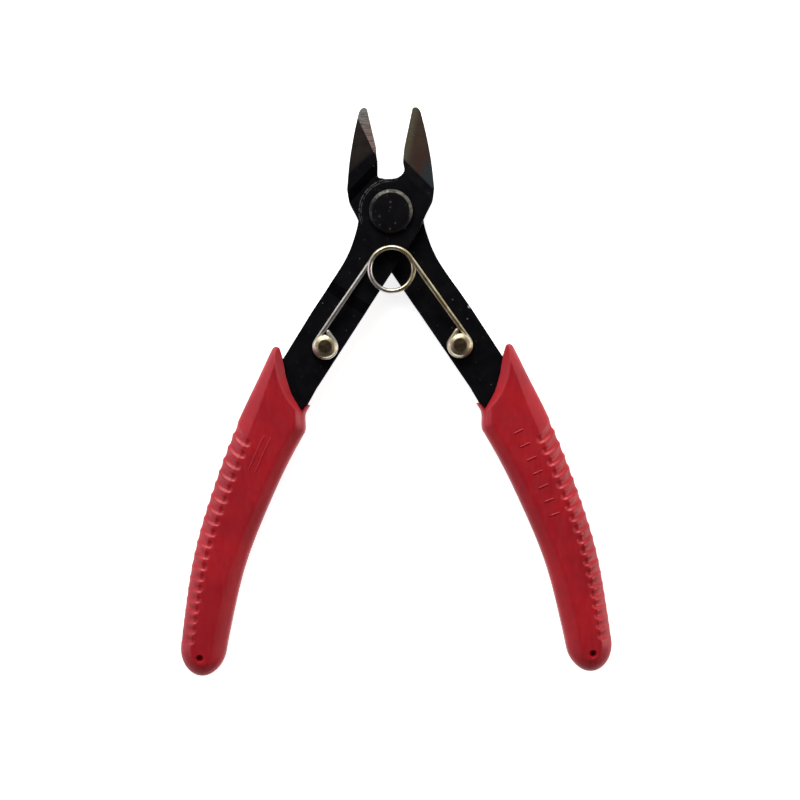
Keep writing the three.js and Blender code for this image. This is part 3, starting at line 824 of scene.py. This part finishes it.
def grip_grid():
    """Rows of points round the sleeve, from deep in its cavity, out at the mouth and to the closed end."""
    columns = section_columns()
    mouth_rows = 40
    stations = row_stations()
    s = np.empty((mouth_rows + len(stations), len(columns)))
    w = np.empty_like(s)
    z = np.empty_like(s)
    spread = (np.arange(mouth_rows) / mouth_rows) ** 1.5
    for j, column in enumerate(columns):
        start = 8.0
        for _ in range(60):
            start = 0.5 * start + 0.5 * float(mouth_start(column_place(column, start)[0]))
        s[:mouth_rows, j] = start + spread * (MOUTH_ROWS_END - start)
        s[mouth_rows:, j] = stations
        w[:, j], z[:, j] = column_place(column, s[:, j])

    upper = np.array([half for _, _, half in columns])
    wall = np.array([kind.endswith("wall") for kind, _, _ in columns])
    raised = MIDDLE_Z + np.abs(z - MIDDLE_Z)

    # round the end, the height follows the distance from the outline
    x, y = plan(s, w)
    outline_s = np.concatenate([np.linspace(40, GRIP_LENGTH - 6, 400),
                                GRIP_LENGTH - 6 + 6 * np.sin(np.linspace(0, math.pi / 2, 300))])
    outline = np.concatenate([np.column_stack(plan(outline_s, outer_half(outline_s))),
                              np.column_stack(plan(outline_s, -inner_half(outline_s)))])
    end_rows = s[:, 0] > GRIP_LENGTH - GRIP_END_ROUNDING
    area = np.ix_(end_rows, ~wall)
    places = np.column_stack([x[area].ravel(), y[area].ravel()])
    inset = nearest(places, outline).reshape(x[area].shape)
    raised[area] = bevel_height(inset, end_bevel_width(s[area], w[area]))

    # the rim of the mouth is bevelled down towards the steel
    mouth_x, mouth_y = plan(mouth_points[:, 0], mouth_points[:, 1])
    mouth_line = np.column_stack([mouth_x, mouth_y])
    area = np.ix_(np.arange(len(s)) < mouth_rows, ~wall)
    places = np.column_stack([x[area].ravel(), y[area].ravel()])
    gap = nearest(places, mouth_line).reshape(x[area].shape)
    spread_w = (MOUTH_BEVEL["lip_w"], MOUTH_BEVEL["wide_w"])
    rim_width = np.interp(w[area], spread_w, (MOUTH_BEVEL["lip_width"], MOUTH_BEVEL["width"]))
    rim = MOUTH_BEVEL["rim_z"] + gap * (GRIP_THICKNESS - MOUTH_BEVEL["rim_z"]) / rim_width
    raised[area] = smooth_min(raised[area], rim, 0.22)

    # flutes are pressed into the outer bevel and the outer side, square to the surface
    for j, (kind, t, _) in enumerate(columns):
        if kind.startswith("inner"):
            continue
        tilt = surface_tilt(kind, t)
        share, out = flute_depth(s[:, j], w[:, j])
        pocket_depth = np.interp(s[:, j], FLUTE_PLACES, POCKET_DEPTHS)
        side_depth = np.interp(s[:, j], FLUTE_PLACES, SIDE_DEPTHS)
        depth = share * (pocket_depth + (side_depth - pocket_depth) * out)
        depth[s[:, j] > GRIP_LENGTH - 4.0] = 0.0
        w[:, j] -= depth * math.sin(tilt)
        raised[:, j] -= depth * math.cos(tilt)

    # a ragged moulding edge round the mouth
    random = np.random.default_rng(7)
    ragged = random.normal(0.0, 0.035, len(columns))
    fade = np.exp(-np.arange(mouth_rows) / 2.0)
    s[:mouth_rows] += fade[:, None] * ragged[None, :]

    lifted = np.where(wall[None, :], z - MIDDLE_Z, upper[None, :] * (raised - MIDDLE_Z))
    z = MIDDLE_Z + lifted
    x, y = plan(s, w)
    rows = [np.column_stack([x[i], y[i], z[i]]) for i in range(len(s))]

    # inside of the mouth
    inner_w = np.clip(w[0], -CAVITY["half"] + 0.25, CAVITY["half"])
    inner_z = np.clip(z[0], CAVITY["low"], CAVITY["high"])
    for depth in CAVITY["depths"]:
        cx, cy = plan(mouth_start(inner_w) + depth, inner_w)
        rows.insert(0, np.column_stack([cx, cy, inner_z]))
    return rows


def grip_mesh(name, side):
    rows = grip_grid()
    count = len(rows[0])
    bottom = rows[0].mean(axis=0)
    points = np.concatenate([*rows, bottom[None, :]])
    points[:, 0] *= side
    faces = []
    for i in range(len(rows) - 1):
        for j in range(count):
            following = (j + 1) % count
            quad = (i * count + j, i * count + following, (i + 1) * count + following, (i + 1) * count + j)
            faces.append(quad if side > 0 else quad[::-1])
    faces += [((j + 1) % count, j, len(points) - 1) for j in range(count)]
    piece = mesh_object(name, points, faces)
    merge_doubles(piece, 0.004)
    return piece


def drill(piece, side):
    """The blind hole that the mould leaves near the lower end."""
    x, y = plan(MOULD_HOLE["s"], MOULD_HOLE["w"])
    top = GRIP_THICKNESS + 1.0
    low = GRIP_THICKNESS - MOULD_HOLE["depth"]
    radius = MOULD_HOLE["radius"]
    lip = radius + 0.2
    profile = [
        (0.0, low), (0.35 * radius, low + 0.05), (0.7 * radius, low + 0.5),
        (radius - 0.04, GRIP_THICKNESS - 0.4), (radius + 0.04, GRIP_THICKNESS - 0.15),
        (lip, GRIP_THICKNESS + 0.02), (lip, top), (0.0, top)]
    cutter = turned("cutter", profile, (side * float(x), float(y)), 48)
    boolean = piece.modifiers.new("hole", "BOOLEAN")
    boolean.operation = "DIFFERENCE"
    boolean.solver = "EXACT"
    boolean.object = cutter
    bpy.context.view_layer.update()
    evaluated = piece.evaluated_get(bpy.context.evaluated_depsgraph_get())
    drilled = bpy.data.meshes.new_from_object(evaluated)
    piece.modifiers.clear()
    piece.data = drilled
    cut_data = cutter.data
    bpy.data.objects.remove(cutter)
    bpy.data.meshes.remove(cut_data)
    sharpen(piece, 40)


RIDGE = {"width": 0.42, "height": 0.2, "sunk": 0.03}


def raised_line(path, sides=8):
    """A low rounded ridge on the grip's flat along points (s, w). Returns points and faces."""
    line = np.array(path, float)
    x, y = plan(line[:, 0], line[:, 1])
    flat = np.column_stack([x, y])
    ahead = np.gradient(flat, axis=0)
    ahead /= np.linalg.norm(ahead, axis=1)[:, None]
    across = np.column_stack([-ahead[:, 1], ahead[:, 0]])
    last = len(flat) - 1
    points = []
    for i, (place, normal) in enumerate(zip(flat, across)):
        ends = min(1.0, 0.35 + 0.65 * min(i, last - i))
        for k in range(sides + 1):
            angle = math.pi * k / sides
            spot = place + normal * (0.5 * RIDGE["width"] * ends * math.cos(angle))
            z = GRIP_THICKNESS - RIDGE["sunk"] + RIDGE["height"] * ends * math.sin(angle)
            points.append((spot[0], spot[1], z))
    faces = []
    for i in range(last):
        for k in range(sides):
            a = i * (sides + 1) + k
            b = a + sides + 1
            faces.append((a, b, b + 1, a + 1))
    return points, faces


def left_mark():
    """Two plain ribs along the grip, with no outline."""
    middle_s, middle_w, reach = 26.4, -0.4, 4.4
    places = np.linspace(-1, 1, 12)
    return [[(middle_s + t * reach, middle_w + offset) for t in places] for offset in (-0.75, 0.75)]


def right_mark():
    """Seven plain bars across the grip, all alike."""
    first_s, pitch, middle_w, reach = 21.6, 3.3, -0.5, 1.25
    places = np.linspace(-1, 1, 9)
    return [[(first_s + pitch * k, middle_w + t * reach) for t in places] for k in range(7)]


def mark_piece(name, ridges, side):
    points = []
    faces = []
    for path in ridges:
        more, quads = raised_line(path)
        start = len(points)
        points += [(side * x, y, z) for x, y, z in more]
        for quad in quads:
            moved = tuple(start + k for k in quad)
            faces.append(moved[::-1] if side > 0 else moved)
    return mesh_object(name, points, faces)


def grip(side, body, look):
    name = "left" if side < 0 else "right"
    piece = grip_mesh(f"grip_{name}_moulding", side)
    drill(piece, side)
    finish_piece(piece, body, look, [f"grip_{name}"])
    ridges = left_mark() if side < 0 else right_mark()
    mark = mark_piece(f"grip_{name}_raised_pattern", ridges, side)
    finish_piece(mark, body, look)


# ---------------------------------------------------------------- stage

def aim(thing, place, target):
    thing.location = place
    thing.rotation_euler = (Vector(target) - Vector(place)).to_track_quat("-Z", "Y").to_euler()


def area_light(name, place, target, size, power, colour):
    data = bpy.data.lights.new(name, "AREA")
    data.shape = "RECTANGLE"
    data.size, data.size_y = size
    data.energy = power
    data.color = colour
    light = bpy.data.objects.new(name, data)
    bpy.context.scene.collection.objects.link(light)
    aim(light, place, target)


def floor():
    made, g = material("floor_paper")
    place = g.position()
    fibre = g.noise(place, 2.0, 4.0, 0.6)
    colour = g.mix(fibre, (0.9, 0.9, 0.9, 1.0), (0.93, 0.93, 0.93, 1.0))
    g.surface(base_color=colour, roughness=0.9, normal=g.bump(fibre, 0.01, 0.3),
              emission_color=(1.0, 1.0, 1.0, 1.0), emission_strength=0.8)
    half = 1500.0
    sheet = mesh_object("floor", [(-half, -half, 0), (half, -half, 0), (half, half, 0), (-half, half, 0)],
                        [(0, 1, 2, 3)], False)
    sheet.location.z = -0.00005
    sheet.data.materials.append(made)


def surroundings():
    """Dark straight overhead, pale towards the horizon, brightest in the north."""
    world = bpy.data.worlds.new("studio")
    bpy.context.scene.world = world
    world.use_nodes = True
    g = Graph(world.node_tree)
    direction = g.add("ShaderNodeTexCoord", output="Generated")
    up = g.along(direction, (0.0, 0.0, 1.0))
    north = g.along(direction, (-0.12, 1.0, 0.0))
    low = g.step(up, 0.985, 0.45)
    side = g.step(north, -0.75, 0.9, 0.12, 0.85)
    level = g.math("ADD", g.times(low, side), 0.008)
    background = g.add("ShaderNodeBackground", {"Color": (1.0, 1.0, 1.0, 1.0), "Strength": level})
    g.finish(background, "ShaderNodeOutputWorld")


def camera():
    data = bpy.data.cameras.new("camera")
    data.sensor_width = 36.0
    data.lens = 120.0
    data.clip_start = 0.01
    view = bpy.data.objects.new("camera", data)
    bpy.context.scene.collection.objects.link(view)
    view.location = (0.00148, -0.04139, 0.5907)
    view.rotation_euler = (0.0, 0.0, math.radians(-0.7))
    bpy.context.scene.camera = view


camera()
floor()
surroundings()
area_light("north_softbox", (-0.12, 0.55, 0.42), (0.0, -0.03, 0.0), (0.6, 0.3), 5.6, (1.0, 0.99, 0.97))
area_light("east_softbox", (0.62, -0.05, 0.2), (0.02, -0.05, 0.0), (0.2, 0.6), 1.7, (1.0, 0.9, 0.84))
area_light("west_softbox", (-0.62, -0.05, 0.2), (-0.02, -0.05, 0.0), (0.2, 0.6), 0.8, (0.95, 0.76, 1.0))
bpy.context.scene.view_settings.view_transform = "Standard"
bpy.context.scene.view_settings.look = "None"

clean_arm("front_arm_steel", "front_arm", "front_arm", front_steel())
clean_arm("rear_arm_steel", "rear_arm", "rear_arm", rear_steel())
pivot_rivet(pivot_steel())
spring_rivet(-1, "front_arm", plated_metal("plated_rivet_left", -SPRING_RIVET["x"]))
spring_rivet(1, "rear_arm", plated_metal("plated_rivet_right", SPRING_RIVET["x"]))
return_spring(spring_metal())
vinyl = red_vinyl()
grip(-1, "front_arm", vinyl)
grip(1, "rear_arm", vinyl)
